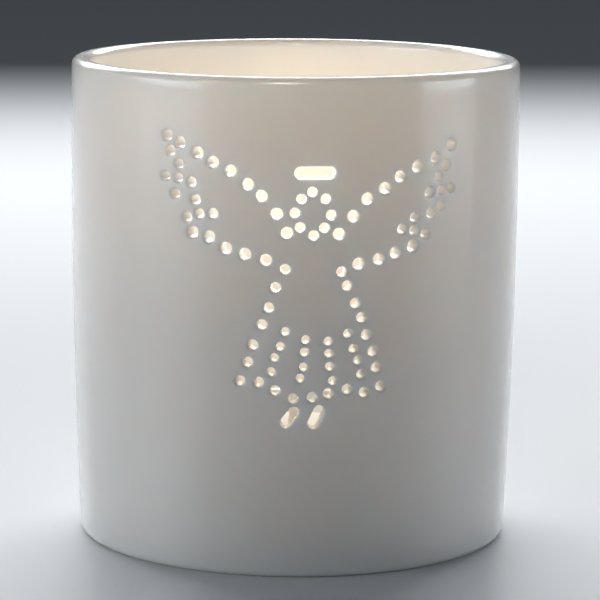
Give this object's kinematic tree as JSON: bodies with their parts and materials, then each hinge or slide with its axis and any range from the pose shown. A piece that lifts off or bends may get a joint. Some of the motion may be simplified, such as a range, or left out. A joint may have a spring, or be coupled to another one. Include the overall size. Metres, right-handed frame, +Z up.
{
  "type": "tealight holder",
  "caption": "Straight-sided porcelain cup for a tealight, its wall pierced with an angel outline that glows when lit, with the tealight that sits inside.",
  "frame": {"origin": "centre of the foot, on the surface that the cup stands on", "axes": "+Z up along the cup's middle line; the pierced angel faces -Y; +X is to the right for someone who looks at the angel"},
  "size_m": [0.0752, 0.0752, 0.0805],
  "materials": {
    "porcelain": "clear satin glaze over white translucent porcelain",
    "thin_aluminium": "bright rolled foil, drawn into a cup",
    "wax": "white paraffin wax, slightly translucent, soft sheen",
    "cotton": "waxed cotton braid",
    "tinned_steel": "dull tinned sheet"
  },
  "bodies": {
    "holder": {"porcelain_shell": "porcelain"},
    "tealight": {"tealight_cup": "thin_aluminium"},
    "candle": {"wax": "wax", "wick": "cotton", "wick_sustainer": "tinned_steel"}
  },
  "joints": [
    {"name": "tealight_lift", "type": "slide", "parent": "holder", "child": "tealight", "axis": [0, 0, 1], "range_m": [0, 0.09]},
    {"name": "candle_lift", "type": "slide", "parent": "tealight", "child": "candle", "axis": [0, 0, 1], "range_m": [0, 0.02]}
  ]
}
